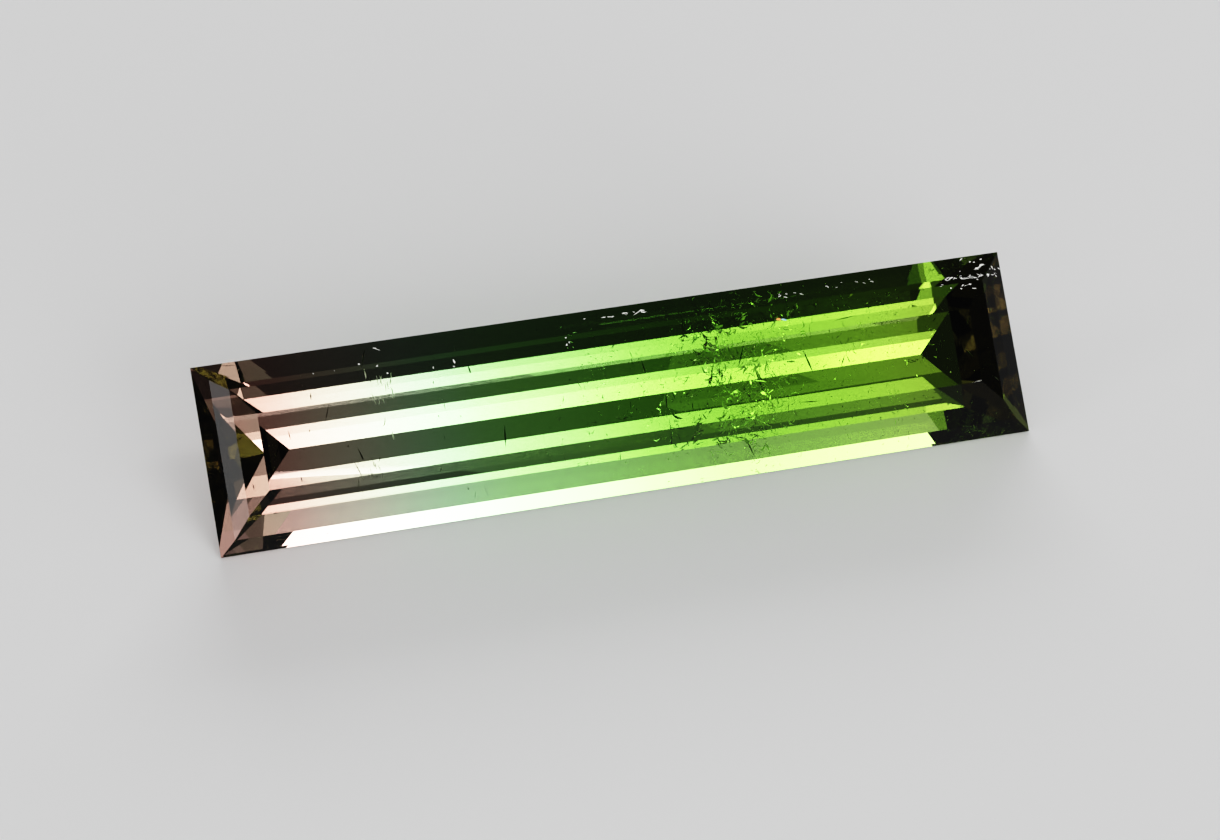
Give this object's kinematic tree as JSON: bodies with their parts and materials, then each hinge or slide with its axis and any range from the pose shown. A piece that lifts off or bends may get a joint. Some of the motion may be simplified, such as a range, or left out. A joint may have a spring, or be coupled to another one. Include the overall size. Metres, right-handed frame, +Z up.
{
  "type": "step-cut tourmaline gemstone",
  "caption": "Long rectangular step-cut tourmaline, pink at one end and green at the other, with a flat table, stepped crown and keeled pavilion, lying on a pavilion facet.",
  "frame": {"origin": "centre of the stone's box, at the level of the surface that it lies on", "axes": "+X along the stone's length, from the pink end to the green end; +Z up; the table faces -Y and up"},
  "size_m": [0.0224, 0.004, 0.0042],
  "materials": {
    "polished_crystal": "polished"
  },
  "bodies": {
    "root": {"tourmaline": "polished_crystal"}
  },
  "joints": []
}
